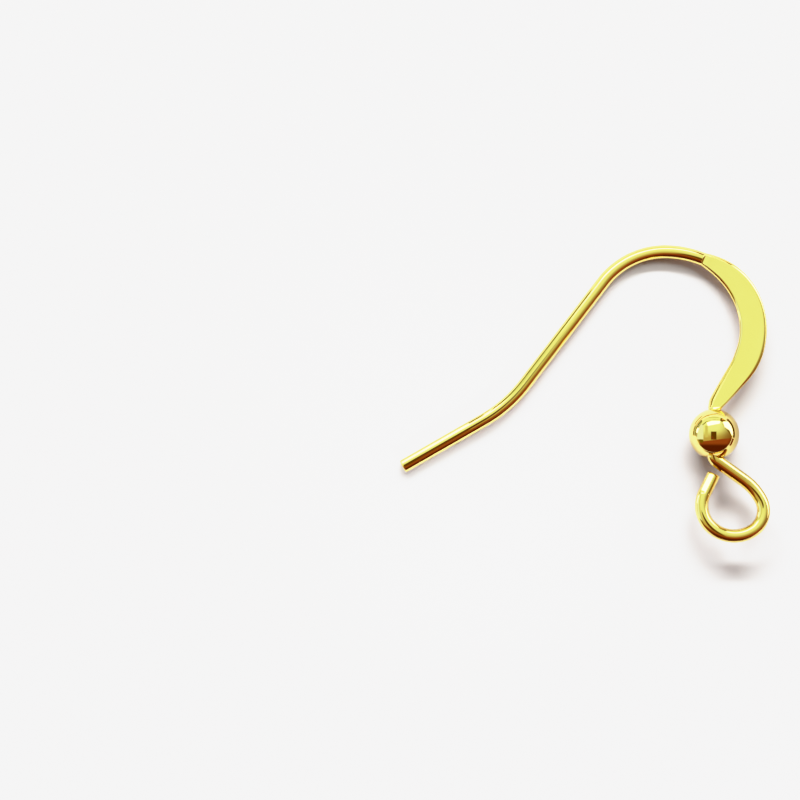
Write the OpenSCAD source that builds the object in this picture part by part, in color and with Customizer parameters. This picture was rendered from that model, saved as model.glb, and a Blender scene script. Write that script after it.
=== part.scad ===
// Fish-hook ear wire of gold-plated brass, lying on a table: one bent wire whose front is pressed flat,
// and a drilled round bead that sits on it above the open eye. Millimetres, Z up, resting on Z = 0.

/* [Wire] */
// Diameter of the round wire
wire_d = 0.8; // [0.6:0.05:1]
// Chamfer round the two cut ends
end_chamfer = 0.1; // [0.05:0.01:0.2]

/* [Tail and shank] */
// Straight length of the tail, from its tip to the kink
tail_len = 5.53; // [3:0.01:8]
// Angle by which the tail turns away from the shank
kink_turn = 22.7; // [5:0.1:40]
// Bend radius of that kink, to the middle of the wire
kink_r = 8.1; // [3:0.1:12]
// Straight length of the shank, from the kink to the arch
shank_len = 7.58; // [5:0.01:10]

/* [Arch] */
// Mean bend radius of the arch, to the middle of the wire
arch_r = 4.6; // [4:0.05:5.2]
// Straight length between the arch and the bend above the bead
front_len = 2; // [1:0.05:3]
// Angle of the bend above the bead
throat_turn = 35; // [20:0.5:50]
// Radius of the bend above the bead, to the middle of the wire
throat_r = 0.93; // [0.9:0.01:1.5]

/* [Flat] */
// Width of the flat at its broadest
flat_w = 1.6; // [1.1:0.02:2]
// Thickness of the flat where it is thinnest
flat_t = 0.35; // [0.25:0.01:0.5]
// Length of the flat along the wire, from the bead's upper neck to the die edge
flat_len = 10.8; // [8:0.05:12]
// Depth of the crisp step that the die leaves in the round wire
die_step = 0.09; // [0.03:0.01:0.12]

/* [Bead] */
// Diameter of the bead
bead_d = 3; // [2.5:0.1:4]
// Gap between the wire and the wall of the bead's bore, all round
bore_gap = 0.04; // [0.02:0.01:0.08]
// Straight wire that shows beyond the upper end of the bead's bore
neck_show = 0.02; // [0.01:0.01:0.2]
// Diameter of the countersunk mouth at the bead's lower end, where the wire bends out
mouth_d = 1.4; // [1.3:0.02:1.6]
// Depth of that mouth
mouth_depth = 0.28; // [0.2:0.01:0.4]

/* [Eye] */
// Mean inner diameter of the open eye
eye_d = 2.7; // [2.2:0.1:4]
// Straight wire from the bead's middle to the bend in its lower mouth
eye_neck_len = 1.13; // [1.1:0.01:1.15]
// Angle of the bend under the bead
eye_kink_turn = 56; // [50:1:60]
// Radius of that bend, to the middle of the wire
eye_kink_r = 0.55; // [0.55:0.01:0.6]
// Straight length from that bend to the eye
eye_stem_len = 1.96; // [1.9:0.02:2.4]
// Straight length at the eye's cut end
eye_end_len = 1.33; // [0.8:0.01:1.35]

/* [Hidden] */
$fn = 64;

wire_r = wire_d / 2;
bead_r = bead_d / 2;
bore_r = wire_r + bore_gap;
// Straight wire from the bead's middle to the bend above it
neck_len = sqrt(bead_r * bead_r - bore_r * bore_r) + neck_show;
eye_r = eye_d / 2 + wire_r;
mouth_r = mouth_d / 2;
// How far the rim of the lower mouth is from the bead's middle
mouth_at = sqrt(bead_r * bead_r - mouth_r * mouth_r);
// Direction of the neck on the table, measured from X
neck_heading = 88.2;

// The arch's bends from its front to the shank, each [bend radius as a share of arch_r, angle]
ARCH = [[0.955, 37], [0.93, 58], [1.34, 30.1], [0.995, 54.2]];
// The eye's bends from the stem to the cut end, each [bend radius as a share of eye_r, angle]
EYE = [[1.87, 26.4], [0.795, 85], [1.15, 77.8], [0.975, 69.6]];

// Each run starts in the middle of the bead. A row is one stretch of the wire:
// [length, 0] where it is straight, [bend radius, angle, positive to the left] where it bends
HOOK_RUN = concat(
    [[neck_len, 0], [throat_r, -throat_turn], [front_len, 0]],
    [for (row = ARCH) [row[0] * arch_r, row[1]]],
    [[shank_len, 0], [kink_r, -kink_turn], [tail_len, 0]]
);
EYE_RUN = concat(
    [[eye_neck_len, 0], [eye_kink_r, eye_kink_turn], [eye_stem_len, 0]],
    [for (row = EYE) [row[0] * eye_r, -row[1]]],
    [[eye_end_len, 0]]
);

// Where the flat is broadest, as shares of its length from the bead, and how quickly it widens up to
// there from the neck and from the die edge
BROAD_FROM = 0.36;
BROAD_TO = 0.58;
NECK_WIDEN = 1.45;
DIE_WIDEN = 2.2;
// How far the ends of the flat reach into the round wire, and how far inside its skin they stay
FLAT_ROOT = 0.2;
SKIN = 0.01;
// How far a slim stretch of wire and the mesh of the flat lap into their neighbours, and how much
// slimmer that stretch is
LAP = 0.03;
LAP_SKIN = 0.002;
// Steps along the flat's mesh, and its sides
FLAT_RINGS = 38;
FLAT_SIDES = 24;
// Share by which the round edge of the flat is taller than the flat is thick
EDGE_ROUND = 0.6;

function stretch_len(row) = row[1] == 0 ? row[0] : row[0] * abs(row[1]) * PI / 180;
function run_len(run) = [for (row = run) stretch_len(row)] * [for (row = run) 1];
function unit(a) = [cos(a), sin(a)];
function side_of(turn) = turn < 0 ? -1 : 1;

// [place, heading] at the distance s along one stretch that starts at p with the heading h
function within(row, s, p, h) =
    row[1] == 0 ? [p + s * unit(h), h]
    : let (side = side_of(row[1]), next = h + side * s / row[0] * 180 / PI)
        [p + side * row[0] * (unit(next - 90) - unit(h - 90)), next];

// [place, heading] at the distance s along a run that starts at p with the heading h
function along(run, s, p, h, i = 0) =
    let (length = stretch_len(run[i]))
    s <= length || i == len(run) - 1 ? within(run[i], s, p, h)
    : let (next = within(run[i], length, p, h)) along(run, s - length, next[0], next[1], i + 1);

// The stretches that are left of a run past the distance s
function rest_of(run, s, i = 0) =
    let (row = run[i], length = stretch_len(row))
    s < length
        ? concat([row[1] == 0 ? [row[0] - s, 0] : [row[0], row[1] * (1 - s / length)]],
                 [for (k = [i + 1:1:len(run) - 1]) run[k]])
        : rest_of(run, s - length, i + 1);

function on_hook(s) = along(HOOK_RUN, s, [0, 0], neck_heading);
function on_eye(s) = along(EYE_RUN, s, [0, 0], neck_heading + 180);

// The flat's half width and half thickness at the share t of its length from the bead
function spread(t) =
    t < BROAD_FROM ? 1 - pow(1 - max(t, 0) / BROAD_FROM, NECK_WIDEN)
    : t > BROAD_TO ? 1 - pow(1 - max(1 - t, 0) / (1 - BROAD_TO), DIE_WIDEN)
    : 1;
function pressed(t) = max(sqrt(spread(t)), t > BROAD_TO ? die_step / (wire_r - flat_t / 2) : 0);
function half_w(t) = wire_r - SKIN + (flat_w / 2 - wire_r + SKIN) * spread(t);
function half_t(t) = wire_r - SKIN - (wire_r - SKIN - flat_t / 2) * pressed(t);

// The hook lies on its tail's tip, on its arch and on the bead. rest_heading is the line through the
// first two, and lean is the hook's slope about it.
tip = on_hook(run_len(HOOK_RUN) - end_chamfer)[0];
arch_from = neck_len + front_len;
arch_to = run_len(HOOK_RUN) - tail_len - shank_len;
rest_heading = max([for (s = [arch_from:0.1:arch_to]) let (d = on_hook(s)[0] - tip) atan2(d[1], d[0])]);
bead_reach = -(tip * unit(rest_heading - 90));
lean = asin((bead_r - wire_r) / bead_reach);

// A place in the hook's plane as it lies on the table, seen from above
function laid(p) =
    let (out = (p - tip) * unit(rest_heading - 90))
    p - out * (1 - cos(lean)) * unit(rest_heading - 90);
function width_at(s) =
    let (t = (s - neck_len) / flat_len)
    t > 0 && t < 1 ? max(wire_r, half_w(t)) : wire_r;
EDGES = concat(
    [for (s = [0:0.1:run_len(HOOK_RUN)], side = [-1, 1])
        let (q = on_hook(s)) laid(q[0] + side * width_at(s) * unit(q[1] + 90))],
    [for (s = [0:0.1:run_len(EYE_RUN)], side = [-1, 1])
        let (q = on_eye(s)) laid(q[0] + side * wire_r * unit(q[1] + 90))]
);
function middle(k) = (min([for (p = EDGES) p[k]]) + max([for (p = EDGES) p[k]])) / 2;

// Lays the hook's plane down and puts the origin under the middle of the part
module as_it_lies() {
    translate([-middle(0), -middle(1), wire_r])
        translate([tip[0], tip[1], 0])
            rotate(a = -lean, v = [cos(rest_heading), sin(rest_heading), 0])
                translate([-tip[0], -tip[1], 0])
                    children();
}

// Puts its children at a [place, heading] of the hook's plane
module at(q) {
    translate([q[0][0], q[0][1], 0])
        rotate(q[1])
            children();
}

// A straight stretch, with a chamfer of the given size round its far end
module straight(length, r, chamfer = 0) {
    rotate([0, 90, 0])
        rotate_extrude()
            polygon(concat(
                [[0, 0], [r, 0], [r, length - chamfer]],
                chamfer > 0 ? [[r - chamfer, length]] : [],
                [[0, length]]
            ));
}

// A bend to the left, or to the right for a negative angle, that starts and ends a few degrees outside it
module bend(radius, turn, r, early, late) {
    mirror([0, turn < 0 ? 1 : 0, 0])
        translate([0, radius, 0])
            rotate(-90 - early)
                rotate_extrude(angle = abs(turn) + early + late)
                    translate([radius, 0])
                        circle(r = r);
}

// Round wire along the stretches of a run, from the given one to a chamfered end. Every other stretch
// is thinner by a hair and laps into its neighbours, so that they join into one body.
module round_wire(run, i = 0) {
    row = run[i];
    last = i == len(run) - 1;
    slim = (len(run) - i) % 2 == 0;
    r = slim ? wire_r - LAP_SKIN : wire_r;
    early = slim && i > 0 ? LAP : 0;
    late = slim ? LAP : 0;
    if (row[1] == 0) {
        translate([-early, 0, 0])
            straight(row[0] + early + late, r, last ? end_chamfer : 0);
        if (!last)
            translate([row[0], 0, 0])
                round_wire(run, i + 1);
    } else {
        degree = row[0] * PI / 180;
        bend(row[0], row[1], r, early / degree, late / degree);
        swing = side_of(row[1]) * row[0];
        translate([0, swing, 0])
            rotate(row[1])
                translate([0, -swing, 0])
                    round_wire(run, i + 1);
    }
}

// The pressed stretch: an ellipse clipped flat above and below, carried along the wire
module pressed_flat() {
    stations = concat(
        [neck_len - FLAT_ROOT],
        [for (i = [0:FLAT_RINGS]) neck_len - LAP + (flat_len + 2 * LAP) * i / FLAT_RINGS],
        [neck_len + flat_len + FLAT_ROOT]
    );
    rings = [for (s = stations)
        let (t = (s - neck_len) / flat_len, q = on_hook(s),
             a = half_w(t), b = half_t(t), c = b * (1 + EDGE_ROUND * pressed(t)))
        [for (k = [0:FLAT_SIDES - 1])
            let (angle = 360 * (k + 0.5) / FLAT_SIDES, p = q[0] + a * cos(angle) * unit(q[1] - 90))
            [p[0], p[1], max(-b, min(b, c * sin(angle)))]]];
    last = (len(stations) - 1) * FLAT_SIDES;
    polyhedron(
        points = [for (ring = rings) each ring],
        faces = concat(
            [[for (k = [FLAT_SIDES - 1:-1:0]) k]],
            [[for (k = [0:FLAT_SIDES - 1]) last + k]],
            [for (i = [0:len(stations) - 2], k = [0:FLAT_SIDES - 1])
                let (n = (k + 1) % FLAT_SIDES, o = i * FLAT_SIDES)
                [o + k, o + n, o + FLAT_SIDES + n, o + FLAT_SIDES + k]]
        ),
        convexity = 6
    );
}

// One wire: the eye and neck, the pressed front, and the round arch, shank and tail
module ear_hook() {
    color("gold")
        as_it_lies()
            union() {
                at([neck_len * unit(neck_heading), neck_heading + 180])
                    round_wire(concat([[neck_len + eye_neck_len, 0]], rest_of(EYE_RUN, eye_neck_len)));
                pressed_flat();
                at(on_hook(neck_len + flat_len))
                    round_wire(rest_of(HOOK_RUN, neck_len + flat_len));
            }
}

// The bead, drilled through for the neck, with a countersunk mouth at its lower end
module ball_bead() {
    color("goldenrod")
        as_it_lies()
            rotate(neck_heading)
                rotate([0, 90, 0])
                    difference() {
                        sphere(r = bead_r);
                        cylinder(h = 2 * bead_d, r = bore_r, center = true);
                        translate([0, 0, -mouth_at])
                            cylinder(h = mouth_depth, r1 = mouth_r, r2 = bore_r);
                        translate([0, 0, -bead_d])
                            cylinder(h = bead_d - mouth_at, r = mouth_r);
                    }
}

ear_hook();
ball_bead();
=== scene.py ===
"""Looks of the fish-hook ear wire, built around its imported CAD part.

The real thing is one brass wire, drawn, bent, pressed flat at its front and gold plated, with a drilled
and tumbled brass bead on it. Both are mirrors, so what shows is their shape and the room around them.
Lengths of the parts are in millimetres and become metres where a mesh is made.
"""

import logging
import math
from dataclasses import dataclass, field
from enum import Enum

import bpy
import numpy as np
from mathutils import Matrix, Vector
from numpy.typing import NDArray


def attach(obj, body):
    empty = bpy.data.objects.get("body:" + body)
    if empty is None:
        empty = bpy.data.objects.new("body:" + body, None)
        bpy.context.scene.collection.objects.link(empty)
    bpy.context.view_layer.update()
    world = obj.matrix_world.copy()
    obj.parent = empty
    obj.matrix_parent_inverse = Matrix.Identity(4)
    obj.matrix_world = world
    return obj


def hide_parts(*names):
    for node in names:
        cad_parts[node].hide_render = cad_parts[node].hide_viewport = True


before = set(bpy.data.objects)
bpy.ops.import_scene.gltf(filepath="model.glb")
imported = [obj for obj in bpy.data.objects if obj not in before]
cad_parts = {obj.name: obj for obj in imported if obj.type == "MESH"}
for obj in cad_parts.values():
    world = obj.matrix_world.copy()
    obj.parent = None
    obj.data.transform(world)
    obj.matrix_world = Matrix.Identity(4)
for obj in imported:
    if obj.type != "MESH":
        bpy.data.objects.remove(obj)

MM = 0.001
BODY = "root"
LOG = logging.getLogger("ear_wire")

# Attributes of the meshes: the place on the straight wire, the lean of the shading, a card's cover
DRAWN = "drawn"
LEAN = "lean"
COVER = "cover"
# Where the photograph's close lens is taken to have been, in millimetres in the shared frame. It stands
# over the middle of the photograph, and its height is a guess from what the bead mirrors
LENS_MM = (-10.9, -0.4, 85.0)
# Colour and strength of the sky in the windows
SKY = ("#FFFFFF", 4.6)
# Distances between the places that are tried along the arch and along the outline
ARCH_STEP_MM = 0.1
OUTLINE_STEP_MM = 0.02

Array = NDArray[np.float64]
Setting = float | bool | str | tuple[float, ...]


class Slot(Enum):
    """The record's material slots."""

    WIRE = "gold_wire"
    BEAD = "gold_bead"


def linear(hex_colour: str) -> tuple[float, float, float, float]:
    """Turns an sRGB hex colour to linear light.

    Args:
        hex_colour: Six hex digits after a hash sign.

    Returns:
        Red, green, blue and full alpha.
    """
    shares = [int(hex_colour[i : i + 2], 16) / 255 for i in (1, 3, 5)]
    red, green, blue = (s / 12.92 if s <= 0.04045 else ((s + 0.055) / 1.055) ** 2.4 for s in shares)
    return red, green, blue, 1.0


def painted(light: str, strength: float) -> tuple[float, ...]:
    """Linear light of a colour at a strength, with full alpha."""
    return tuple(share * strength for share in linear(light)[:3]) + (1.0,)


def add_node(
    tree: bpy.types.NodeTree,
    kind: str,
    settings: dict[str, Setting] | None = None,
    values: dict[str | int, Setting] | None = None,
    links: dict[str | int, bpy.types.NodeSocket] | None = None,
) -> bpy.types.Node:
    """Adds a node with its settings and links.

    Args:
        tree: The node tree.
        kind: Blender's name for the kind of node.
        settings: The node's own properties.
        values: Values of its input sockets.
        links: Output sockets that feed its input sockets.

    Returns:
        The new node.
    """
    node = tree.nodes.new(kind)
    for name, value in (settings or {}).items():
        setattr(node, name, value)
    for name, value in (values or {}).items():
        node.inputs[name].default_value = value
    for name, socket in (links or {}).items():
        tree.links.new(socket, node.inputs[name])
    return node


@dataclass(frozen=True)
class GoldPlate:
    """Gold plate over polished brass: a mirror in lemon yellow, with the faint marks of its making.

    Plating follows the metal under it. The drawn wire keeps hairlines along its length, and the tumbled
    bead a very slight ripple, so that mirrored edges waver a little and the brightest ones go soft.

    Attributes:
        name: The material's name.
        colour: Reflection of a white light, head on.
        deep_colour: Where the plate is thinnest and the brass shows through.
        roughness: Blur of the reflections.
        scuff_roughness: Blur where handling has dulled it.
        ripple_mm: Width of one ripple.
        ripple_depth_mm: Height of the ripples.
        wear_mm: Width of one patch that handling has dulled.
        worn: Values of the wear pattern between which the plate goes dull.
        hairline_mm: Width of the lines that the drawing die leaves, or 0 for none.
        hairline_depth_mm: Depth of those lines.
        hairline_stretch: Length of one line in widths.
    """

    name: str
    colour: str
    deep_colour: str
    roughness: float
    scuff_roughness: float
    ripple_mm: float
    ripple_depth_mm: float
    wear_mm: float
    worn: tuple[float, float] = (0.4, 0.75)
    hairline_mm: float = 0.0
    hairline_depth_mm: float = 0.0
    hairline_stretch: float = 10.0

    def make(self) -> bpy.types.Material:
        """Builds the material.

        Returns:
            The material, whose patterns read Object coordinates and the wire's unrolled ones.
        """
        material = bpy.data.materials.new(self.name)
        material.use_nodes = True
        tree = material.node_tree
        tree.nodes.clear()
        place = add_node(tree, "ShaderNodeTexCoord").outputs["Object"]
        wear = add_node(
            tree,
            "ShaderNodeTexNoise",
            values={"Scale": 1 / (self.wear_mm * MM), "Detail": 4.0, "Roughness": 0.6},
            links={"Vector": place},
        ).outputs["Fac"]
        scuffs = add_node(
            tree,
            "ShaderNodeMapRange",
            values={1: self.worn[0], 2: self.worn[1], 3: self.roughness, 4: self.scuff_roughness},
            links={0: wear},
        )
        tint = add_node(
            tree,
            "ShaderNodeMix",
            settings={"data_type": "RGBA"},
            values={6: linear(self.colour), 7: linear(self.deep_colour)},
            links={0: wear},
        )
        shader = add_node(
            tree,
            "ShaderNodeBsdfPrincipled",
            values={"Metallic": 1.0},
            links={
                "Base Color": tint.outputs[2],
                "Roughness": scuffs.outputs[0],
                "Normal": self.leaning(tree, self.relief(tree, place)),
            },
        )
        add_node(tree, "ShaderNodeOutputMaterial", links={"Surface": shader.outputs[0]})
        return material

    def relief(self, tree: bpy.types.NodeTree, place: bpy.types.NodeSocket) -> bpy.types.NodeSocket:
        """Adds the ripples, and on drawn wire the hairlines along it.

        Args:
            tree: The material's node tree.
            place: Place on the piece.

        Returns:
            The normal with both.
        """
        ripple = add_node(
            tree,
            "ShaderNodeTexNoise",
            values={"Scale": 1 / (self.ripple_mm * MM), "Detail": 1.0, "Roughness": 0.4},
            links={"Vector": place},
        )
        rippled = add_node(
            tree,
            "ShaderNodeBump",
            values={"Strength": 1.0, "Distance": self.ripple_depth_mm * MM},
            links={"Height": ripple.outputs["Fac"]},
        ).outputs["Normal"]
        if not self.hairline_mm:
            return rippled
        drawn = add_node(tree, "ShaderNodeAttribute", settings={"attribute_name": DRAWN})
        lines, along = 1 / self.hairline_mm, 1 / (self.hairline_mm * self.hairline_stretch)
        stretch = add_node(
            tree,
            "ShaderNodeMapping",
            values={"Scale": (lines, lines, along)},
            links={"Vector": drawn.outputs["Vector"]},
        )
        hairline = add_node(
            tree,
            "ShaderNodeTexNoise",
            values={"Scale": 1.0, "Detail": 2.0},
            links={"Vector": stretch.outputs["Vector"]},
        )
        return add_node(
            tree,
            "ShaderNodeBump",
            values={"Strength": 1.0, "Distance": self.hairline_depth_mm * MM},
            links={"Height": hairline.outputs["Fac"], "Normal": rippled},
        ).outputs["Normal"]

    @staticmethod
    def leaning(tree: bpy.types.NodeTree, normal: bpy.types.NodeSocket) -> bpy.types.NodeSocket:
        """Adds the lean that the wire's mesh stores. The bead stores none, which counts as nought.

        Args:
            tree: The material's node tree.
            normal: The normal with its relief.

        Returns:
            The normal with its lean, one long.
        """
        lean = add_node(tree, "ShaderNodeAttribute", settings={"attribute_name": LEAN})
        leaned = add_node(
            tree,
            "ShaderNodeVectorMath",
            settings={"operation": "ADD"},
            links={0: normal, 1: lean.outputs["Vector"]},
        )
        return add_node(
            tree, "ShaderNodeVectorMath", settings={"operation": "NORMALIZE"}, links={0: leaned.outputs[0]}
        ).outputs[0]


WIRE_PLATE = GoldPlate(
    name="gold_plate_on_drawn_brass",
    colour="#FDE283",
    deep_colour="#F9D774",
    roughness=0.035,
    scuff_roughness=0.06,
    ripple_mm=0.9,
    ripple_depth_mm=0.0009,
    wear_mm=2.7,
    hairline_mm=0.12,
    hairline_depth_mm=0.00005,
)
BEAD_PLATE = GoldPlate(
    name="gold_plate_on_tumbled_brass",
    colour="#FDE283",
    deep_colour="#F9D774",
    roughness=0.03,
    scuff_roughness=0.05,
    ripple_mm=0.7,
    ripple_depth_mm=0.0008,
    wear_mm=2.1,
)


def smooth_step(value: Array, low: float, high: float) -> Array:
    """Rises from 0 at low to 1 at high, level at both ends: 3 x squared less 2 x cubed."""
    x = np.clip((value - low) / (high - low), 0, 1)
    return x * x * (3 - 2 * x)


def grid_faces(rows: int, columns: int) -> NDArray[np.int64]:
    """Numbers the four corners of each face of a grid that is closed round its columns.

    Args:
        rows: Rings of the grid.
        columns: Points of a ring.

    Returns:
        One row of four point numbers a face.
    """
    start = (np.arange(rows - 1)[:, None] * columns + np.arange(columns)).ravel()
    beside = (np.arange(rows - 1)[:, None] * columns + (np.arange(columns) + 1) % columns).ravel()
    return np.stack([start, beside, beside + columns, start + columns], axis=1)


def mesh_object(
    name: str, points_mm: Array, faces: list[list[int]], material: bpy.types.Material
) -> bpy.types.Object:
    """Makes a smooth mesh at the origin.

    Args:
        name: The piece's name.
        points_mm: One row a point, in millimetres in the shared frame.
        faces: Point numbers of each face, anticlockwise seen from outside.
        material: Its finish.

    Returns:
        The object, linked to the scene.
    """
    mesh = bpy.data.meshes.new(name)
    mesh.from_pydata((points_mm * MM).tolist(), [], faces)
    mesh.polygons.foreach_set("use_smooth", np.ones(len(faces), bool))
    mesh.materials.append(material)
    mesh.update()
    piece = bpy.data.objects.new(name, mesh)
    bpy.context.scene.collection.objects.link(piece)
    return piece


@dataclass(frozen=True)
class Stretch:
    """One stretch of the wire, straight where it has no turn.

    Attributes:
        size: Its length where it is straight, its bend radius where it turns.
        turn: Angle in degrees, positive to the left.
    """

    size: float
    turn: float = 0.0

    @property
    def length(self) -> float:
        """Length along the middle of the wire."""
        return self.size * math.radians(abs(self.turn)) if self.turn else self.size

    @property
    def bend(self) -> float:
        """Turn per millimetre in radians, 0 where it is straight."""
        return math.copysign(1 / self.size, self.turn) if self.turn else 0.0


@dataclass(frozen=True)
class Run:
    """Stretches laid end to end from the middle of the bead.

    Attributes:
        heading: First direction in degrees.
        stretches: The stretches in order.
    """

    heading: float
    stretches: tuple[Stretch, ...]

    @property
    def length(self) -> float:
        """Length of the whole run."""
        return sum(s.length for s in self.stretches)

    def at(self, distance: Array) -> tuple[Array, Array]:
        """Finds places and headings along the run.

        A place on a bend is the bend's start, plus the change of the left-hand unit vector, turned to
        point along the wire, over the turn per millimetre.

        Args:
            distance: Distances from the middle of the bead.

        Returns:
            One place a row, and the headings in radians.
        """
        ends = np.cumsum([s.length for s in self.stretches])
        number = np.minimum(np.searchsorted(ends, distance), len(ends) - 1)
        bends = np.array([s.bend for s in self.stretches])
        lengths = np.array([s.length for s in self.stretches])
        headings = math.radians(self.heading) + np.concatenate([[0], np.cumsum(bends * lengths)])
        starts = [np.zeros(2)]
        for k, stretch in enumerate(self.stretches):
            starts.append(starts[-1] + self.step(headings[k], stretch.bend, np.array(stretch.length)))
        local = distance - (ends - lengths)[number]
        places = np.array(starts)[number] + self.step(headings[number], bends[number], local)
        return places, headings[number] + bends[number] * local

    @staticmethod
    def step(heading: Array, bend: Array, distance: Array) -> Array:
        """Way covered from a heading: a chord of the bend, or a straight line.

        Args:
            heading: First direction in radians.
            bend: Turn per millimetre in radians.
            distance: Length along the wire.

        Returns:
            The way in X and Y, in the last axis.
        """
        half = np.asarray(bend * distance / 2)
        chord = distance * np.sinc(half / math.pi)
        return np.stack([chord * np.cos(heading + half), chord * np.sin(heading + half)], axis=-1)


@dataclass(frozen=True)
class Lie:
    """How the hook's own plane lies on the table.

    Attributes:
        pivot: Tip of the tail in the hook's plane.
        heading: Direction in degrees of the line through the tail's tip and the arch.
        lean: Slope of the plane about that line, in degrees.
        middle: Middle of the outline on the table, which becomes the origin.
        height: Height of the wire's middle at the pivot.
    """

    pivot: Array
    heading: float
    lean: float
    middle: Array
    height: float

    def place(self, points: Array) -> Array:
        """Lays points of the hook's plane down: a turn about the line, then a shift.

        Args:
            points: X, Y and height over the hook's plane, one point a row.

        Returns:
            The points in the shared frame.
        """
        pivot = np.array([*self.pivot, 0.0])
        a = math.radians(self.heading)
        turn = np.array(Matrix.Rotation(-math.radians(self.lean), 3, Vector((math.cos(a), math.sin(a), 0))))
        shift = pivot + np.array([-self.middle[0], -self.middle[1], self.height])
        return (points - pivot) @ turn.T + shift


@dataclass
class EarHook:
    """The bent wire: tail, shank, arch, pressed front, neck and open eye in one piece.

    Attributes:
        bead_r: Radius of the bead, which holds the neck off the table.
        wire_r: Radius of the round wire.
        neck: Straight wire from the middle of the bead to the bend above it.
        eye_neck: Straight wire from there to the bend in the bead's lower mouth.
        neck_heading: Direction of the neck on the table in degrees.
        front: Straight stretch of the front above the bend over the bead.
        shank: Straight wire between the arch and the kink.
        tail: Straight wire past the kink.
        flat_w: Width of the pressed front where it is broadest.
        flat_t: Its thickness there.
        flat_len: Its length from the neck to the die edge.
        bulge: How far the ellipse that the flat clips stands over it, in half thicknesses.
        bulge_power: How quickly that comes on with the pressing.
        die_depth: Depth of the step that the die leaves.
        die_ramp: Length of that step along the wire.
        die_reach: Ramps before and past the die's edge where the rings are closer together.
        die_rings: Rings there.
        broad_from: Share of the length where the front gets its full width.
        broad_to: Share of the length where it starts to lose it again.
        neck_widen: How quickly the front widens from the neck.
        die_widen: How quickly it widens from the die's edge.
        skew: How far the front's face stands to the right of its back, near the neck.
        skew_from: Shares of the length where that has come on, and where it starts to go.
        skew_to: Share of the length where that has gone.
        end_round: Rounding of the cut ends.
        end_rings: Rings of that rounding.
        cut_end: Straight wire at the eye's cut end, gripped by the pliers.
        dip_deg: Angle by which the pliers bent that end down.
        nip_roll_deg: How far the flat that they left on it leans out of the eye.
        nip_half_deg: Half the angle of the round wire that it takes away.
        nip_ramp: Length over which that flat comes on.
        station_mm: Distance between two rings of the mesh.
        columns: Points round a ring.
        corner_deg: Greatest angle of the section's corners over its width.
        eye_slopes: Slopes that the shading of the eye takes on, by the distance from the bead. They were
            set to match the photograph's tones, and the mesh has none of them.
        face_lean: Lean of the pressed face's shading, right and up, set to match the photograph's tone.
        face_level: Heights in half thicknesses between which the side becomes the face.
        face_press: Thickness pressed away between which round wire becomes the face.
        hook_run: The wire from the middle of the bead to the tail's tip.
        eye_run: The wire from there to the eye's cut end.
    """

    bead_r: float = 1.5
    wire_r: float = 0.4
    neck: float = 1.45402
    eye_neck: float = 1.13
    neck_heading: float = 88.2
    front: float = 2.0
    shank: float = 7.58
    tail: float = 5.53
    flat_w: float = 1.6
    flat_t: float = 0.35
    flat_len: float = 10.8
    bulge: float = 0.6
    bulge_power: float = 0.7
    die_depth: float = 0.09
    die_ramp: float = 0.1
    die_reach: tuple[float, float] = (1.2, 0.2)
    die_rings: int = 10
    broad_from: float = 0.36
    broad_to: float = 0.58
    neck_widen: float = 1.45
    die_widen: float = 2.2
    skew: float = 0.11
    skew_from: tuple[float, float] = (0.03, 0.05)
    skew_to: float = 0.34
    end_round: float = 0.1
    end_rings: int = 6
    cut_end: float = 1.33
    dip_deg: float = 18.0
    nip_roll_deg: float = 15.0
    nip_half_deg: float = 24.0
    nip_ramp: float = 0.08
    station_mm: float = 0.055
    columns: int = 96
    corner_deg: float = 60.0
    eye_slopes: tuple[tuple[float, float], ...] = (
        (1.3, 0.0),
        (1.8, 0.13),
        (3.6, 0.13),
        (4.9, -0.1),
        (5.8, -0.14),
        (6.9, -0.13),
        (8.35, 0.0),
        (9.9, 0.12),
        (11.2, 0.17),
        (12.0, 0.17),
        (12.1, 0.0),
    )
    face_lean: tuple[float, float] = (0.067, 0.13)
    face_level: tuple[float, float] = (0.9, 1.0)
    face_press: tuple[float, float] = (0.01, 0.05)
    hook_run: Run = field(init=False)
    eye_run: Run = field(init=False)

    def __post_init__(self) -> None:
        """Lays out the two runs, with the sizes of the CAD part."""
        self.hook_run = Run(
            self.neck_heading,
            (
                Stretch(self.neck),
                Stretch(0.93, -35),
                Stretch(self.front),
                Stretch(4.393, 37),
                Stretch(4.278, 58),
                Stretch(6.164, 30.1),
                Stretch(4.577, 54.2),
                Stretch(self.shank),
                Stretch(8.1, -22.7),
                Stretch(self.tail),
            ),
        )
        self.eye_run = Run(
            self.neck_heading + 180,
            (
                Stretch(self.eye_neck),
                Stretch(0.55, 56),
                Stretch(1.96),
                Stretch(3.2725, -26.4),
                Stretch(1.39125, -85),
                Stretch(2.0125, -77.8),
                Stretch(1.70625, -69.6),
                Stretch(self.cut_end),
            ),
        )

    def middle_line(self, station: Array) -> tuple[Array, Array]:
        """Place and heading along the whole wire, from the eye's end, below 0, to the tail's tip.

        Args:
            station: Distance from the middle of the bead, below 0 towards the eye.

        Returns:
            One place a row, and the headings towards the tail in radians.
        """
        hook, eye = self.hook_run.at(np.maximum(station, 0)), self.eye_run.at(np.maximum(-station, 0))
        before = station < 0
        places = np.where(before[:, None], eye[0], hook[0])
        return places, np.where(before, eye[1] + math.pi, hook[1])

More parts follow.
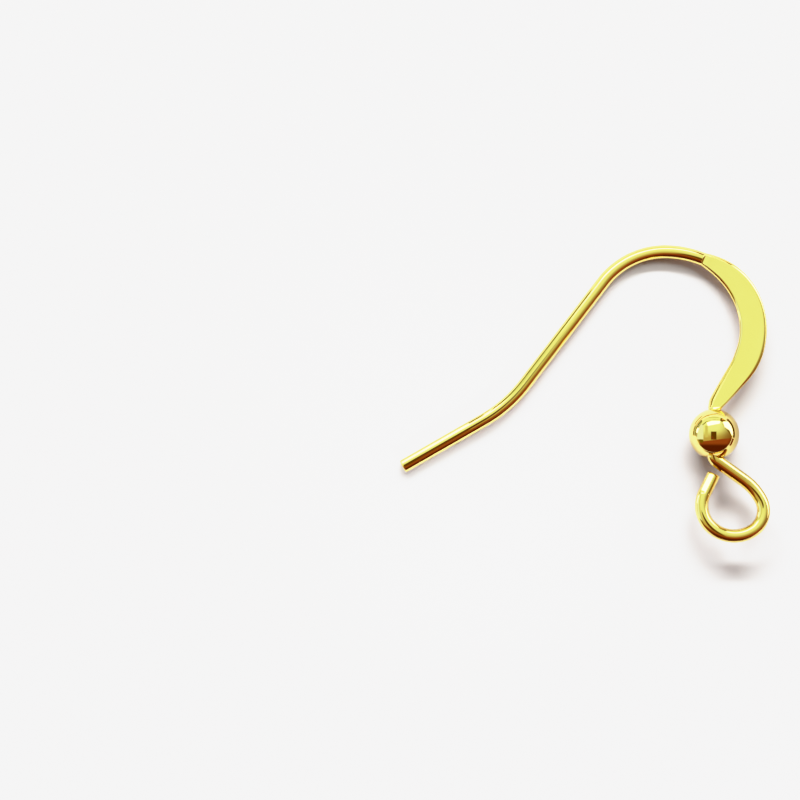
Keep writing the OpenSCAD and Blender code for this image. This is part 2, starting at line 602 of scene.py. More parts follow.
    def pressed(self, station: Array) -> tuple[Array, Array, Array]:
        """Half width and half thickness of the section, and the ellipse that its flats clip.

        The width grows from either end as 1 less a power of the share that is left. The thickness falls
        with its square root, so the pressed section keeps the area of the round one. Towards the arch
        the die's edge leaves a step. The ellipse stands over the flat by a share of the half thickness.

        Args:
            station: Distance from the middle of the bead.

        Returns:
            Half width, half thickness, and half the height of the ellipse.
        """
        t = (station - self.neck) / self.flat_len
        rise = 1 - (1 - np.clip(t / self.broad_from, 0, 1)) ** self.neck_widen
        fall = 1 - (1 - np.clip((1 - t) / (1 - self.broad_to), 0, 1)) ** self.die_widen
        spread = np.minimum(rise, fall)
        step = smooth_step(self.neck + self.flat_len - station, 0, self.die_ramp)
        floor = np.where(t > self.broad_to, step * self.die_depth / (self.wire_r - self.flat_t / 2), 0)
        press = np.maximum(np.sqrt(spread), floor)
        press = np.where(t > self.broad_to, np.minimum(press, np.maximum(floor, step * press)), press)
        half_w = self.wire_r + (self.flat_w / 2 - self.wire_r) * spread
        half_t = self.wire_r - (self.wire_r - self.flat_t / 2) * press
        return half_w, half_t, half_t * (1 + self.bulge * press**self.bulge_power)

    def lie(self) -> Lie:
        """Finds how the hook rests: on its tail's tip, on its arch and on the bead.

        Returns:
            The place of the hook's plane on the table.
        """
        end = self.hook_run.length
        tip = self.hook_run.at(np.array([end - self.end_round]))[0][0]
        station = np.arange(self.neck + self.front, end - self.tail - self.shank, ARCH_STEP_MM)
        arch = self.hook_run.at(station)[0] - tip
        heading = float(np.degrees(np.arctan2(arch[:, 1], arch[:, 0])).max())
        across = np.array([math.sin(math.radians(heading)), -math.cos(math.radians(heading))])
        lean = math.degrees(math.asin((self.bead_r - self.wire_r) / -(tip @ across)))
        station = np.arange(-self.eye_run.length, end, OUTLINE_STEP_MM)
        places, headings = self.middle_line(station)
        left = np.stack([-np.sin(headings), np.cos(headings)], axis=1) * self.pressed(station)[0][:, None]
        edges = np.concatenate([places + left, places - left])
        edges = edges - np.outer((edges - tip) @ across, across) * (1 - math.cos(math.radians(lean)))
        return Lie(tip, heading, lean, (edges.min(0) + edges.max(0)) / 2, self.wire_r)

    def stations(self) -> Array:
        """Spaces the rings, closer together at the die's edge and at the two ends.

        Returns:
            Their distances from the middle of the bead, below 0 towards the eye.
        """
        low, high = -self.eye_run.length, self.hook_run.length
        die = self.neck + self.flat_len
        before, past = (self.die_ramp * reach for reach in self.die_reach)
        plain = np.arange(low + self.end_round, high - self.end_round, self.station_mm)
        plain = plain[np.abs(plain - die) > before]
        rounding = self.end_round * (1 - np.cos(np.linspace(0, 0.5 * math.pi, self.end_rings)))
        edge = np.linspace(die - before, die + past, self.die_rings)
        return np.unique(np.concatenate([low + rounding, plain, edge, high - rounding]).round(6))

    def build(self, lie: Lie) -> bpy.types.Object:
        """Carries the section along the wire.

        A ring is an ellipse, half width times the cosine across and its height times the sine upwards,
        clipped level at the half thickness. The rings shrink as a quarter circle at the two ends.

        Args:
            lie: How the hook's plane lies on the table.

        Returns:
            The piece, in its finish.
        """
        station = self.stations()
        places, headings = self.middle_line(station)
        half_w, half_t, ellipse = self.pressed(station)
        corner = np.degrees(np.arcsin(np.clip(half_t / ellipse, 0, 1)))
        corner = np.radians(np.minimum(corner, self.corner_deg))[:, None]
        share = np.arange(self.columns) / self.columns * 4
        quarter = np.floor(share + 0.5)
        inside = share - quarter
        side = quarter % 2 == 0
        angle = quarter * 0.5 * math.pi + 2 * inside * np.where(side, corner, 0.5 * math.pi - corner)
        across = half_w[:, None] * np.cos(angle)
        up = np.clip(ellipse[:, None] * np.sin(angle), -half_t[:, None], half_t[:, None])

        low, high = station[0], station[-1]
        from_end = np.minimum(station - low, high - station)
        inset = np.clip(1 - from_end / self.end_round, 0, 1)
        shrink = (1 - self.end_round / self.wire_r * (1 - np.sqrt(1 - inset**2)))[:, None]
        across, up = across * shrink, up * shrink
        share_along = (station - self.neck) / self.flat_len
        on, going = self.skew_from
        slant = smooth_step(share_along, 0, on) * (1 - smooth_step(share_along, going, self.skew_to))
        across = across + (self.skew * slant / half_t)[:, None] * up
        across, up = self.nipped(station, across, up)

        right = np.stack([np.sin(headings), -np.cos(headings), np.zeros_like(headings)], axis=1)
        points = np.concatenate([places, np.zeros((len(station), 1))], axis=1)[:, None, :]
        points = points + across[..., None] * right[:, None, :]
        points[..., 2] += up
        ring_count = len(station)
        flat_points = points.reshape(-1, 3)
        caps = np.array([points[0].mean(0), points[-1].mean(0)])
        flat_points = lie.place(np.concatenate([flat_points, caps]))

        faces = grid_faces(ring_count, self.columns)[:, ::-1].tolist()
        first, last = ring_count * self.columns, ring_count * self.columns + 1
        column = np.arange(self.columns)
        beside = (column + 1) % self.columns
        top = (ring_count - 1) * self.columns
        faces += np.stack([column, beside, np.full_like(column, first)], axis=1).tolist()
        faces += np.stack([top + beside, top + column, np.full_like(column, last)], axis=1).tolist()
        piece = mesh_object("wire_hook", flat_points, faces, WIRE_PLATE.make())
        self.unroll(piece.data, station)
        self.bow(piece.data, flat_points, headings, self.pressed(station)[1], up)
        return piece

    def nipped(self, station: Array, across: Array, up: Array) -> tuple[Array, Array]:
        """Shapes the cut end as the pliers left it: bent down in a sharp crease, with a flat on it.

        A point over the flat's plane drops onto it. The plane's distance from the middle is the wire's
        radius times the cosine of half the angle that it takes away.

        Args:
            station: Distances of the rings.
            across: Places across the wire.
            up: Heights over the hook's plane.

        Returns:
            The new places and heights.
        """
        reach = np.maximum(station[0] + self.cut_end - station, 0)[:, None]
        grip = smooth_step(reach, 0, self.nip_ramp)
        roll = math.radians(self.nip_roll_deg)
        way = np.array([math.sin(roll), math.cos(roll)])
        over = across * way[0] + up * way[1] - self.wire_r * math.cos(math.radians(self.nip_half_deg))
        cut = grip * np.maximum(over, 0)
        dip = math.tan(math.radians(self.dip_deg)) * reach
        return across - cut * way[0], up - cut * way[1] - dip

    def unroll(self, mesh: bpy.types.Mesh, station: Array) -> None:
        """Stores where each point was on the straight wire: X and Y round it, and Z along it.

        Args:
            mesh: The wire's mesh.
            station: Distances of its rings.
        """
        ring, column = np.divmod(np.arange(len(mesh.vertices)), self.columns)
        angle = column / self.columns * 2 * math.pi
        along = station[np.minimum(ring, len(station) - 1)]
        straight = np.stack([self.wire_r * np.cos(angle), self.wire_r * np.sin(angle), along], axis=1)
        layer = mesh.attributes.new(DRAWN, "FLOAT_VECTOR", "POINT")
        layer.data.foreach_set("vector", straight.astype(np.float32).ravel())

    def bow(self, mesh: bpy.types.Mesh, points: Array, headings: Array, half_t: Array, up: Array) -> None:
        """Stores how far the shading leans, to match what the photograph's close lens saw mirrored.

        A mirror ball shows the room the same way from anywhere. A wire doesn't: it flips the part of the
        view's slope that runs along it. The slope is the way from the lens over the lens's height. The
        slopes set for the eye add to it, and the pressed face has a lean of its own. Both were matched to
        the photograph's tones. The lean goes with the height of the normal, so it ends at the outline.
        It is in the shading alone, up to 19 degrees at the eye, and stays the same from every side, so
        seen from elsewhere the metal mirrors the room a little off.

        Args:
            mesh: The wire's mesh.
            points: Its points in millimetres.
            headings: Directions of the wire towards the tail at the rings in radians.
            half_t: Half thickness at the rings.
            up: Heights over the hook's plane, one row a ring.
        """
        x, y, height = LENS_MM
        ring = np.minimum(np.arange(len(points)) // self.columns, len(headings) - 1)
        axis = np.stack([np.cos(headings), np.sin(headings)], axis=1)[ring]
        along = ((points[:, :2] - [x, y]) / height * axis).sum(1)
        reach, slope = np.array(self.eye_slopes).T
        along = along - np.interp(-self.stations()[ring], reach, slope, left=0, right=0)
        level = np.append(up.ravel() / half_t[ring[:-2]], [0, 0])
        thin = self.wire_r - half_t[ring]
        face = (smooth_step(level, *self.face_level) * smooth_step(thin, *self.face_press))[:, None]
        lean = along[:, None] * axis * (1 - face) + np.array(self.face_lean) * face
        normals = np.empty(len(points) * 3, np.float32)
        mesh.vertex_normals.foreach_get("vector", normals)
        lean = lean * np.clip(normals.reshape(-1, 3)[:, 2:], 0, 1)
        layer = mesh.attributes.new(LEAN, "FLOAT_VECTOR", "POINT")
        level_lean = np.column_stack([lean, np.zeros(len(lean))])
        layer.data.foreach_set("vector", level_lean.astype(np.float32).ravel())


@dataclass
class BallBead:
    """The drilled bead on the neck.

    Attributes:
        radius: Radius of the bead.
        bore_r: Radius of its bore.
        lip: Rounding where the bore meets the outside.
        lip_shares: Shares of the lip where the wall ends, and where the rounding's point is, down and in.
        mouth_r: Radius of the countersunk lower mouth.
        mouth_depth: Depth of that mouth.
        rim_rad: Angle along the outside that is left for the rim of that mouth.
        cone_from: Share of the countersink's depth where its wall starts.
        wall_gap: Gap between its end and the first ring of the bore's wall.
        around: Points round the bore's axis.
        outside: Points along the outside, from mouth to mouth.
        cone_rings: Points along the countersink.
        inside: Points along the bore's wall.
    """

    radius: float = 1.5
    bore_r: float = 0.44
    lip: float = 0.05
    lip_shares: tuple[float, float, float] = (0.9, 0.2, 0.25)
    mouth_r: float = 0.7
    mouth_depth: float = 0.28
    rim_rad: float = 0.012
    cone_from: float = 0.06
    wall_gap: float = 0.02
    around: int = 128
    outside: int = 96
    cone_rings: int = 6
    inside: int = 8

    def build(self, lie: Lie, heading: float) -> bpy.types.Object:
        """Turns the bead's outline about the neck.

        The outline is an arc of the bead's radius from the upper mouth to the rim of the lower one, the
        countersunk cone, the straight wall of the bore back up, and a small rounding to the start.

        Args:
            lie: How the hook's plane lies on the table.
            heading: Direction of the neck in degrees.

        Returns:
            The piece, in its finish.
        """
        upper = math.asin((self.bore_r + self.lip) / self.radius)
        lower = math.pi - math.asin(self.mouth_r / self.radius)
        wall_end, round_down, round_in = (self.lip * share for share in self.lip_shares)
        arc = np.linspace(upper, lower - self.rim_rad, self.outside)
        along, off = self.radius * np.cos(arc), self.radius * np.sin(arc)
        rim = self.radius * math.cos(lower)
        cone = np.linspace(self.cone_from, 1, self.cone_rings)
        wall = np.linspace(rim + self.mouth_depth + self.wall_gap, along[0] - wall_end, self.inside)
        along = np.concatenate([along, rim + self.mouth_depth * cone, wall, [along[0] - round_down]])
        slope = self.mouth_r + (self.bore_r - self.mouth_r) * cone
        off = np.concatenate([off, slope, np.full(self.inside, self.bore_r), [self.bore_r + round_in]])

        turn = np.arange(self.around) / self.around * 2 * math.pi
        a = math.radians(heading)
        axis = np.array([math.cos(a), math.sin(a), 0])
        right = np.array([math.sin(a), -math.cos(a), 0])
        up = np.array([0, 0, 1.0])
        spoke = np.cos(turn)[:, None] * right + np.sin(turn)[:, None] * up
        points = along[:, None, None] * axis + off[:, None, None] * spoke
        count = len(along)
        faces = grid_faces(count, self.around)
        closing = grid_faces(2, self.around)
        closing = np.where(closing >= self.around, closing - self.around, closing + (count - 1) * self.around)
        faces = np.concatenate([faces, closing])[:, ::-1].tolist()
        return mesh_object("round_bead", lie.place(points.reshape(-1, 3)), faces, BEAD_PLATE.make())


@dataclass(frozen=True)
class Patch:
    """A patch of the room, as a mirror ball on the table shows it from above.

    Attributes:
        name: What it is.
        corners: Its corners on the ball, anticlockwise, in shares of the ball's radius, right and up.
        soft: Half the width of its soft edge, in the same shares.
        light: Its colour.
        strength: How bright it is.
    """

    name: str
    corners: tuple[tuple[float, float], ...]
    soft: float
    light: str
    strength: float

    def edges(self) -> list[tuple[float, float, float]]:
        """Finds each side's line, as what to multiply X, Y and 1 by for the distance inside it.

        Returns:
            One row of three factors a side.
        """
        rows = []
        for (ax, ay), (bx, by) in zip(self.corners, self.corners[1:] + self.corners[:1], strict=True):
            length = math.hypot(bx - ax, by - ay)
            nx, ny = (ay - by) / length, (bx - ax) / length
            rows.append((nx, ny, -nx * ax - ny * ay))
        return rows

    def mask(self, tree: bpy.types.NodeTree, place: bpy.types.NodeSocket) -> bpy.types.NodeSocket:
        """Adds the nodes that tell how far the patch covers a place.

        The least distance inside its sides rises smoothly to full cover across the soft edge.

        Args:
            tree: The world's node tree.
            place: X and Y on the ball, and 1.

        Returns:
            The cover, from 0 outside to 1 inside.
        """
        sides = [
            add_node(
                tree,
                "ShaderNodeVectorMath",
                settings={"operation": "DOT_PRODUCT"},
                values={1: row},
                links={0: place},
            ).outputs["Value"]
            for row in self.edges()
        ]
        inside = sides[0]
        for side in sides[1:]:
            inside = add_node(
                tree, "ShaderNodeMath", settings={"operation": "MINIMUM"}, links={0: inside, 1: side}
            ).outputs[0]
        return add_node(
            tree,
            "ShaderNodeMapRange",
            settings={"interpolation_type": "SMOOTHSTEP"},
            values={1: -self.soft, 2: self.soft},
            links={0: inside},
        ).outputs[0]


def bar(
    name: str,
    start: tuple[float, float],
    end: tuple[float, float],
    half: float,
    light: str,
    strength: float,
    soft: float = 0.7,
) -> Patch:
    """Makes a thin straight patch.

    Args:
        name: What it is.
        start: One end on the ball.
        end: The other end.
        half: Half its width.
        light: Its colour.
        strength: How bright it is.
        soft: Half the width of its soft edge, as a share of half its width.

    Returns:
        The patch.
    """
    length = math.hypot(end[0] - start[0], end[1] - start[1])
    x, y = -(end[1] - start[1]) / length * half, (end[0] - start[0]) / length * half
    corners = (
        (start[0] - x, start[1] - y),
        (end[0] - x, end[1] - y),
        (end[0] + x, end[1] + y),
        (start[0] + x, start[1] + y),
    )
    return Patch(name, corners, half * soft, light, strength)


@dataclass(frozen=True)
class Window:
    """Daylight that throws shadows: a rectangle of sky, as the table sees it.

    Attributes:
        name: What it is.
        azimuth: Direction of its middle in degrees, clockwise from +Y.
        elevation: Height of its middle in degrees.
        half_wide: Half its width in degrees.
        half_high: Half its height in degrees.
        watts: Its power.
    """

    name: str
    azimuth: float
    elevation: float
    half_wide: float
    half_high: float
    watts: float

    @property
    def way(self) -> Vector:
        """Way from the table to its middle."""
        a, e = math.radians(self.azimuth), math.radians(self.elevation)
        return Vector((math.sin(a) * math.cos(e), math.cos(a) * math.cos(e), math.sin(e)))

    def sides(self, distance: float) -> tuple[float, float]:
        """Width and height that its angles take at a distance."""
        wide, high = math.radians(self.half_wide), math.radians(self.half_high)
        return 2 * distance * math.tan(wide), 2 * distance * math.tan(high)


@dataclass(frozen=True)
class Fill:
    """Small light beside the tail that fills its shadow.

    Attributes:
        aim: Point that it faces, in millimetres.
        way: Way from there to the light.
        distance: From there to the light in millimetres.
        sides: Its width and height in millimetres.
        spread: Angle in degrees that its light keeps to.
        watts: Its power.
    """

    aim: tuple[float, float, float] = (-7.9, -3.4, 0.0)
    way: tuple[float, float, float] = (0.36, -0.62, 0.5)
    distance: float = 30.0
    sides: tuple[float, float] = (12.0, 6.0)
    spread: float = 40.0
    watts: float = 0.001


@dataclass(frozen=True)
class Card:
    """A glowing sheet near the table, between two arcs about the bead, that only the metal mirrors: a painted
    reflection, or painted shade of the table.

    Attributes:
        name: What it is.
        radii: Radius of either arc in millimetres.
        turn: First and last direction in degrees, anticlockwise from +X.
        light: Its colour.
        strength: How bright it is.
        heights: Height of either arc over the table in millimetres.
        covers: How well either arc covers what is behind it.
        soft: Share of the ring's part over which it thins out at its two ends.
        steps: Faces along the arcs.
    """

    name: str
    radii: tuple[float, float]
    turn: tuple[float, float]
    light: str
    strength: float
    heights: tuple[float, float] = (0.02, 0.02)
    covers: tuple[float, float] = (1.0, 1.0)
    soft: float = 0.08
    steps: int = 24

    def points(self, bead: Array) -> Array:
        """Lays out its two arcs.

        Args:
            bead: Middle of the bead in millimetres.

        Returns:
            The inner arc's points and then the outer one's.
        """
        angle = np.radians(np.linspace(*self.turn, self.steps + 1))
        ways = np.stack([np.cos(angle), np.sin(angle)], axis=1)
        flat = np.concatenate([bead[:2] + ways * radius for radius in self.radii])
        return np.column_stack([flat, np.repeat(self.heights, len(angle))])

    def cover(self) -> Array:
        """Finds how well each point covers what is behind it: an arc's cover, smoothly 0 at its ends.

        Returns:
            The inner arc's covers and then the outer one's.
        """
        share = np.linspace(0, 1, self.steps + 1)
        ends = smooth_step(np.minimum(share, 1 - share), 0, self.soft)
        return np.concatenate([ends * cover for cover in self.covers])

    def faces(self) -> list[list[int]]:
        """Joins the two arcs by faces that look up."""
        outer = self.steps + 1
        return [[k, k + outer, k + outer + 1, k + 1] for k in range(self.steps)]


@dataclass(frozen=True)
class Sheet:
    """A glowing flat sheet beside a straight run that only the metal mirrors: a painted highlight, line or
    band along the wire.

    Attributes:
        name: What it is.
        away: Distances of its two long edges from the run, square to it, in millimetres.
        heights: Height of either long edge over the table in millimetres.
        light: Its colour.
        strength: How bright it is.
        start: Where the run starts, in millimetres.
        along: Way the run goes.
        length: How long the sheet is, in millimetres.
    """

    name: str
    away: tuple[float, float]
    heights: tuple[float, float]
    light: str
    strength: float
    start: tuple[float, float] = (-13.0, -5.6)
    along: tuple[float, float] = (0.867, 0.498)
    length: float = 8.6

    def points(self) -> Array:
        """Lays out its corners beside the run.

        Returns:
            The corners in order.
        """
        along = np.array(self.along)
        across = np.array([along[1], -along[0]])
        ends = np.array(self.start), np.array(self.start) + self.length * along
        near = [end + across * self.away[0] for end in ends]
        far = [end + across * self.away[1] for end in ends]
        corners = np.array([near[0], near[1], far[1], far[0]])
        return np.column_stack([corners, np.repeat(self.heights, 2)])


@dataclass
class Studio:
    """White table, daylight, the room as painted by its mirror image, and the camera straight above.

    The room's patches, cards and sheets were placed and toned by comparing the metal with the
    photograph. They match what it mirrors there, and aren't a record of the real room.

    Attributes:
        pixels: Side of the photograph.
        pixels_per_mm: Its scale.
        bead_pixel: Where the middle of the bead is in it.
        distance: From the camera to the hook, in metres, long enough to show no perspective.
        sensor_mm: Width of the camera's sensor.
        floor_half: Half the side of the table in metres.
        floor_colour: Colour of the table.
        floor_roughness: Its roughness.
        light_colour: Colour of the daylight.
        light_distance: From the table to the windows in metres.
        windows: The windows that throw shadows.
        fill: The light beside the tail.
        brightest: Scene light that shows as full white.
        response: The camera's response, as scene light and shown light; it flattens above white.
        ceiling: Colour and strength of the ceiling.
        cards: Glowing sheets round the bead that only the metal mirrors: painted reflections, and painted
            shade of the table.
        sheets: Glowing sheets beside the tail and the shank that only the metal mirrors: a painted highlight,
            painted lines and a painted band.
        patches: What it mirrors of the room.
    """

    pixels: float = 800.0
    pixels_per_mm: float = 17.0
    bead_pixel: tuple[float, float] = (714.1, 434.2)
    distance: float = 1.2
    sensor_mm: float = 36.0
    floor_half: float = 6.0
    floor_colour: str = "#AD9CA8"
    floor_roughness: float = 0.9
    light_colour: str = "#E6FFEB"
    light_distance: float = 2.0
    windows: tuple[Window, ...] = (
        Window("window_north", 0.0, 41.5, 26.0, 3.2, 186.0),
        Window("window_northeast", 36.5, 55.5, 16.0, 9.7, 43.0),
    )
    fill: Fill = Fill()
    brightest: float = 3.0
    response: tuple[tuple[float, float], ...] = (
        (0.45, 0.45),
        (0.8, 0.76),
        (1.0, 0.865),
        (1.2, 0.9),
        (1.5, 0.913),
        (2.2, 0.93),
    )
    ceiling: tuple[str, float] = ("#E2FFE2", 1.28)
    cards: tuple[Card, ...] = (
        # Painted reflections that only the metal mirrors: dark and brown arcs and bands round the bead, a
        # gold band, and sky below the horizon.
        Card("painted_dark_arc_east", (8.2, 36.0), (-14.0, 52.0), "#FFC030", 0.1),
        Card("window_east_low", (36.0, 200.0), (-4.0, 44.0), *SKY),
        # shade_east and shade_southwest glow dimmer than the lit table: painted shade of the table round the
        # bead, as the metal mirrors it.
        Card("shade_east", (2.0, 8.2), (-75.0, 75.0), "#E4E0F0", 0.7, covers=(1.0, 0.6), soft=0.4),
        Card("shade_southwest", (2.0, 6.0), (180.0, 262.0), "#E4E0F0", 0.75, covers=(1.0, 0.0), soft=0.4),
        Card("brown_east", (9.5, 60.0), (-40.0, -8.0), "#FF7800", 0.16, soft=0.2),
        Card("brown_south", (15.0, 120.0), (-135.0, -40.0), "#FF7010", 0.08, soft=0.3),
        Card("painted_dark_band_west", (5.0, 5.0), (151.0, 188.0), "#FFE875", 0.22, (0.75, 1.25), soft=0.2),
        Card("gold_west", (5.0, 5.0), (151.0, 188.0), "#EEF8DE", 0.6, (1.25, 2.1), soft=0.2),
        Card("painted_dark_band_west_top", (5.0, 5.0), (151.0, 188.0), "#FFE875", 0.25, (2.1, 2.5), soft=0.2),
        Card("painted_dark_arc_northwest", (5.2, 6.4), (122.0, 154.0), "#FFE875", 0.3),
    )
    sheets: tuple[Sheet, ...] = (
        # Painted reflections along the tail and the shank: a white highlight, thin olive lines and a brown
        # band, seen only in the metal.
        Sheet("painted_highlight_by_tail", (-6.0, -6.0), (0.5, 6.0), "#FFFFFF", 4.0),
        Sheet("line_by_tail", (-5.9, -2.1), (0.05, 0.05), "#B8C890", 0.2),
        Sheet(
            "line_by_shank", (-6.0, -6.0), (0.5, 2.8), "#B4D040", 0.22, (-4.7, -0.8), (0.621, 0.784), 9.6
        ),
        Sheet("brown_by_tail", (9.7, 28.5), (60.0, 60.0), "#FF9040", 0.2),
    )
    patches: tuple[Patch, ...] = (
        Patch("dim_south", ((-1.5, -1.5), (1.5, -1.5), (1.5, 0.03), (-1.5, 0.03)), 0.2, "#FAEBA8", 0.58),
        Patch("dim_east", ((0.0, -0.9), (2.0, -0.9), (2.0, 1.2), (0.83, 1.2)), 0.33, "#FFC878", 0.26),
        Patch("wall_west", ((-0.9, -0.2), (-0.43, -0.2), (-0.43, 0.38), (-0.9, 0.38)), 0.03, "#CCE8FF", 1.56),
        Patch(
            "wall_west_dark",
            ((-0.36, -0.12), (-0.25, -0.12), (-0.25, 0.34), (-0.36, 0.34)),
            0.03,
            "#F4FFC7",
            0.75,
        ),
        bar("skyline_west", (-0.69, -0.1), (-0.67, 0.2), 0.018, "#FFE080", 0.3),
        bar("skyline_northwest", (-0.67, 0.2), (-0.48, 0.5), 0.015, "#FFE080", 0.35),
        bar("skyline_north", (-0.2, 0.65), (0.18, 0.66), 0.012, "#F1FFD0", 0.65),
        bar("frame_northwest", (-0.46, 0.37), (-0.3, 0.49), 0.018, "#FFEF70", 0.22),
        bar("frame_north", (-0.3, 0.49), (0.0, 0.56), 0.012, "#FFEF70", 0.3),
        bar("frame_northeast", (0.0, 0.56), (0.25, 0.545), 0.01, "#FFEF70", 0.45),
        Patch(
            "window_north",
            ((-0.25, 0.33), (0.22, 0.42), (0.24, 0.525), (-0.1, 0.53), (-0.3, 0.45)),
            0.012,
            *SKY,
        ),
        Patch(
            "lamp_shade",
            ((0.22, 0.52), (0.34, 0.47), (0.51, 0.58), (0.4, 0.66), (0.26, 0.64)),
            0.02,
            "#FFB000",
            0.2,
        ),
        Patch("lamp", ((0.31, 0.55), (0.42, 0.56), (0.42, 0.61), (0.31, 0.6)), 0.015, "#FFD582", 0.9),
        bar("frame_east", (0.35, 0.42), (0.68, -0.03), 0.03, "#FFE040", 0.16),
        Patch(
            "window_east",
            ((0.34, 0.48), (0.41, 0.29), (0.62, 0.14), (0.75, 0.2), (0.66, 0.42), (0.56, 0.5)),
            0.012,
            *SKY,
        ),
        Patch(
            "window_east_tip",
            ((0.6, 0.16), (0.7, -0.06), (0.78, -0.06), (0.78, 0.3), (0.68, 0.3)),
            0.012,
            *SKY,
        ),
        Patch(
            "brown_wall",
            (
                (-0.62, -0.22),
                (-0.55, -0.42),
                (-0.25, -0.6),
                (0.0, -0.72),
                (0.6, -0.6),
                (0.85, -0.12),
                (0.6, -0.15),
                (0.1, -0.185),
            ),
            0.015,
            "#FF8748",
            0.3,
        ),
        Patch("brown_corner", ((0.3, -0.9), (0.9, -0.6), (0.9, -0.12), (0.66, -0.14)), 0.1, "#FF7800", 0.15),
        Patch("brown_edge", ((-0.8, -0.4), (-0.8, -0.9), (0.9, -0.9), (0.9, -0.4)), 0.07, "#FF7010", 0.09),
        Patch(
            "olive_step",
            ((-0.64, -0.22), (-0.5, -0.36), (-0.42, -0.3), (-0.44, -0.21), (-0.55, -0.2)),
            0.02,
            "#FFDA00",
            0.17,
        ),
        Patch(
            "lens_shade",
            ((-0.13, -0.21), (0.087, -0.21), (0.087, 0.107), (-0.13, 0.107)),
            0.012,
            "#FFB400",
            0.12,
        ),
    )

    def camera(self, bead: Array) -> None:
        """Sets the camera straight above the photograph's middle.

        Args:
            bead: Middle of the bead in millimetres.
        """
        middle = self.pixels / 2
        x = bead[0] + (middle - self.bead_pixel[0]) / self.pixels_per_mm
        y = bead[1] - (middle - self.bead_pixel[1]) / self.pixels_per_mm
        data = bpy.data.cameras.new("camera")
        data.sensor_fit = "HORIZONTAL"
        data.sensor_width = self.sensor_mm
        data.lens = self.sensor_mm * self.distance / (self.pixels / self.pixels_per_mm * MM)
        camera = bpy.data.objects.new("camera", data)
        camera.location = (x * MM, y * MM, self.distance + bead[2] * MM)
        bpy.context.scene.collection.objects.link(camera)
        bpy.context.scene.camera = camera

    def floor(self) -> None:
        """Lays the white table."""
        h = self.floor_half
        corners = np.array([[-h, -h, 0], [h, -h, 0], [h, h, 0], [-h, h, 0]]) / MM
        material = bpy.data.materials.new("white_table")
        material.use_nodes = True
        shader = material.node_tree.nodes["Principled BSDF"]
        shader.inputs["Base Color"].default_value = linear(self.floor_colour)
        shader.inputs["Roughness"].default_value = self.floor_roughness
        shader.inputs["Specular IOR Level"].default_value = 0.0
        mesh_object("table", corners, [[0, 1, 2, 3]], material)

    def reflected(self, bead: Array) -> None:
        """Lays out the glowing cards and sheets that only the metal mirrors: painted reflections and painted
        shade.

        Args:
            bead: Middle of the bead in millimetres.
        """
        for card in self.cards:
            glow = self.glow(card.name, card.light, card.strength)
            self.mirror_only(mesh_object(card.name, card.points(bead), card.faces(), glow), card.cover())
        for sheet in self.sheets:
            glow = self.glow(sheet.name, sheet.light, sheet.strength)
            self.mirror_only(mesh_object(sheet.name, sheet.points(), [[0, 1, 2, 3]], glow), np.ones(4))

    @staticmethod
    def glow(name: str, light: str, strength: float) -> bpy.types.Material:
        """Makes a glowing material that thins out where the sheet's cover does.

        Args:
            name: Its name.
            light: Its colour.
            strength: How bright it is.

        Returns:
            The material.
        """
        material = bpy.data.materials.new(name)
        material.use_nodes = True
        tree = material.node_tree
        tree.nodes.clear()
        cover = add_node(tree, "ShaderNodeAttribute", settings={"attribute_name": COVER})
        clear = add_node(tree, "ShaderNodeBsdfTransparent")
        glow = add_node(tree, "ShaderNodeEmission", values={"Color": linear(light), "Strength": strength})
        mixed = add_node(
            tree,
            "ShaderNodeMixShader",
            links={0: cover.outputs["Fac"], 1: clear.outputs[0], 2: glow.outputs[0]},
        )
        add_node(tree, "ShaderNodeOutputMaterial", links={"Surface": mixed.outputs[0]})
        return material

    @staticmethod
    def mirror_only(sheet: bpy.types.Object, cover: Array) -> None:
        """Hides a sheet from the camera and the table, and stores its cover.

        Args:
            sheet: The sheet.
            cover: How well each of its points covers what is behind it.
        """
        layer = sheet.data.attributes.new(COVER, "FLOAT", "POINT")
        layer.data.foreach_set("value", cover.astype(np.float32))
        sheet.visible_camera = False
        sheet.visible_diffuse = False
        sheet.visible_shadow = False

    def world(self) -> None:
        """Paints the room: a bright ceiling with patches laid over it.

        Where a direction shows on a mirror ball seen from above is the middle between it and straight
        up, so X and Y of that are the ball's own right and up. A patch covers a place as far as the
        place is inside all of the patch's sides.
        """
        world = bpy.data.worlds.new("room")
        bpy.context.scene.world = world
        world.use_nodes = True
        tree = world.node_tree
        tree.nodes.clear()
        way = add_node(tree, "ShaderNodeTexCoord")
        lifted = add_node(
            tree,
            "ShaderNodeVectorMath",
            settings={"operation": "ADD"},
            values={1: (0.0, 0.0, 1.0)},
            links={0: way.outputs["Generated"]},
        )
        ball = add_node(
            tree, "ShaderNodeVectorMath", settings={"operation": "NORMALIZE"}, links={0: lifted.outputs[0]}
        )
        place = add_node(
            tree,
            "ShaderNodeVectorMath",
            settings={"operation": "MULTIPLY_ADD"},
            values={1: (1.0, 1.0, 0.0), 2: (0.0, 0.0, 1.0)},
            links={0: ball.outputs[0]},
        ).outputs[0]
        colour = add_node(tree, "ShaderNodeRGB").outputs[0]
        colour.default_value = painted(*self.ceiling)
        for patch in self.patches:
            colour = add_node(
                tree,
                "ShaderNodeMix",
                settings={"data_type": "RGBA"},
                values={7: painted(patch.light, patch.strength)},
                links={0: patch.mask(tree, place), 6: colour},
            ).outputs[2]
        background = add_node(tree, "ShaderNodeBackground", links={"Color": colour})
        add_node(tree, "ShaderNodeOutputWorld", links={"Surface": background.outputs[0]})

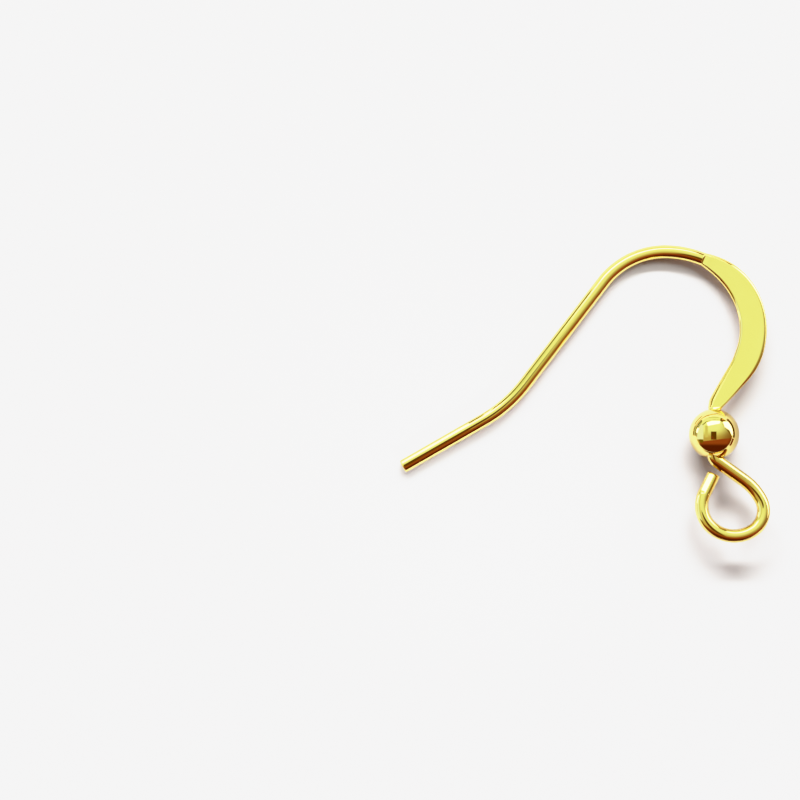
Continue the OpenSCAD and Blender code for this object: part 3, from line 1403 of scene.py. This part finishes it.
    def daylight(self, aim: Array) -> None:
        """Hangs the windows that throw the shadows, and the light that fills the tail's.

        Args:
            aim: Point in millimetres that the windows face.
        """
        far = self.light_distance
        for window in self.windows:
            place = Vector(aim * MM) + window.way * far
            self.hang(window.name, window.watts, window.sides(far), place, window.way)
        fill = self.fill
        way = Vector(fill.way).normalized()
        place = (Vector(fill.aim) + way * fill.distance) * MM
        sides = (fill.sides[0] * MM, fill.sides[1] * MM)
        self.hang("fill", fill.watts, sides, place, way).spread = math.radians(fill.spread)

    def hang(
        self, name: str, watts: float, sides: tuple[float, float], place: Vector, way: Vector
    ) -> bpy.types.AreaLight:
        """Hangs a rectangle of light, out of sight of the camera and of the metal, which mirrors the room.

        Args:
            name: What it is.
            watts: Its power.
            sides: Its width and height in metres.
            place: Where its middle is, in metres.
            way: Way to it from what it lights.

        Returns:
            The light.
        """
        data = bpy.data.lights.new(name, "AREA")
        data.energy = watts
        data.color = linear(self.light_colour)[:3]
        data.shape = "RECTANGLE"
        data.size, data.size_y = sides
        light = bpy.data.objects.new(name, data)
        light.location = place
        light.rotation_euler = way.to_track_quat("Z", "Y").to_euler()
        light.visible_camera = False
        light.visible_glossy = False
        bpy.context.scene.collection.objects.link(light)
        return data

    def expose(self) -> None:
        """Gives the picture the response of the camera, which overexposed the white table."""
        view = bpy.context.scene.view_settings
        view.view_transform = "Standard"
        view.use_curve_mapping = True
        mapping = view.curve_mapping
        mapping.white_level = (self.brightest,) * 3
        mapping.extend = "HORIZONTAL"
        curve = mapping.curves[3]
        for light, shown in self.response:
            curve.points.new(light / self.brightest, shown)
        for point in curve.points:
            point.handle_type = "AUTO_CLAMPED"
        mapping.update()

    def set_up(self, bead: Array) -> None:
        """Builds all of it.

        Args:
            bead: Middle of the bead in millimetres.
        """
        self.camera(bead)
        self.floor()
        self.world()
        self.reflected(bead)
        self.daylight(bead)
        self.expose()


def main() -> None:
    """Builds the ear wire and its studio in order."""
    logging.basicConfig(level=logging.INFO, format="%(name)s: %(message)s")
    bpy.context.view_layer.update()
    hook = EarHook()
    lie = hook.lie()
    bead_middle = lie.place(np.zeros((1, 3)))[0]
    LOG.info("bead at %s mm, lean %.4f", bead_middle.round(5), lie.lean)
    Studio().set_up(bead_middle)

    wire = hook.build(lie)
    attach(wire, BODY)
    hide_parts("ear_hook")
    LOG.info("%s: %d faces", wire.name, len(wire.data.polygons))

    bead = BallBead().build(lie, hook.neck_heading)
    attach(bead, BODY)
    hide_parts("ball_bead")
    LOG.info("%s: %d faces", bead.name, len(bead.data.polygons))


if __name__ == "__main__":
    main()
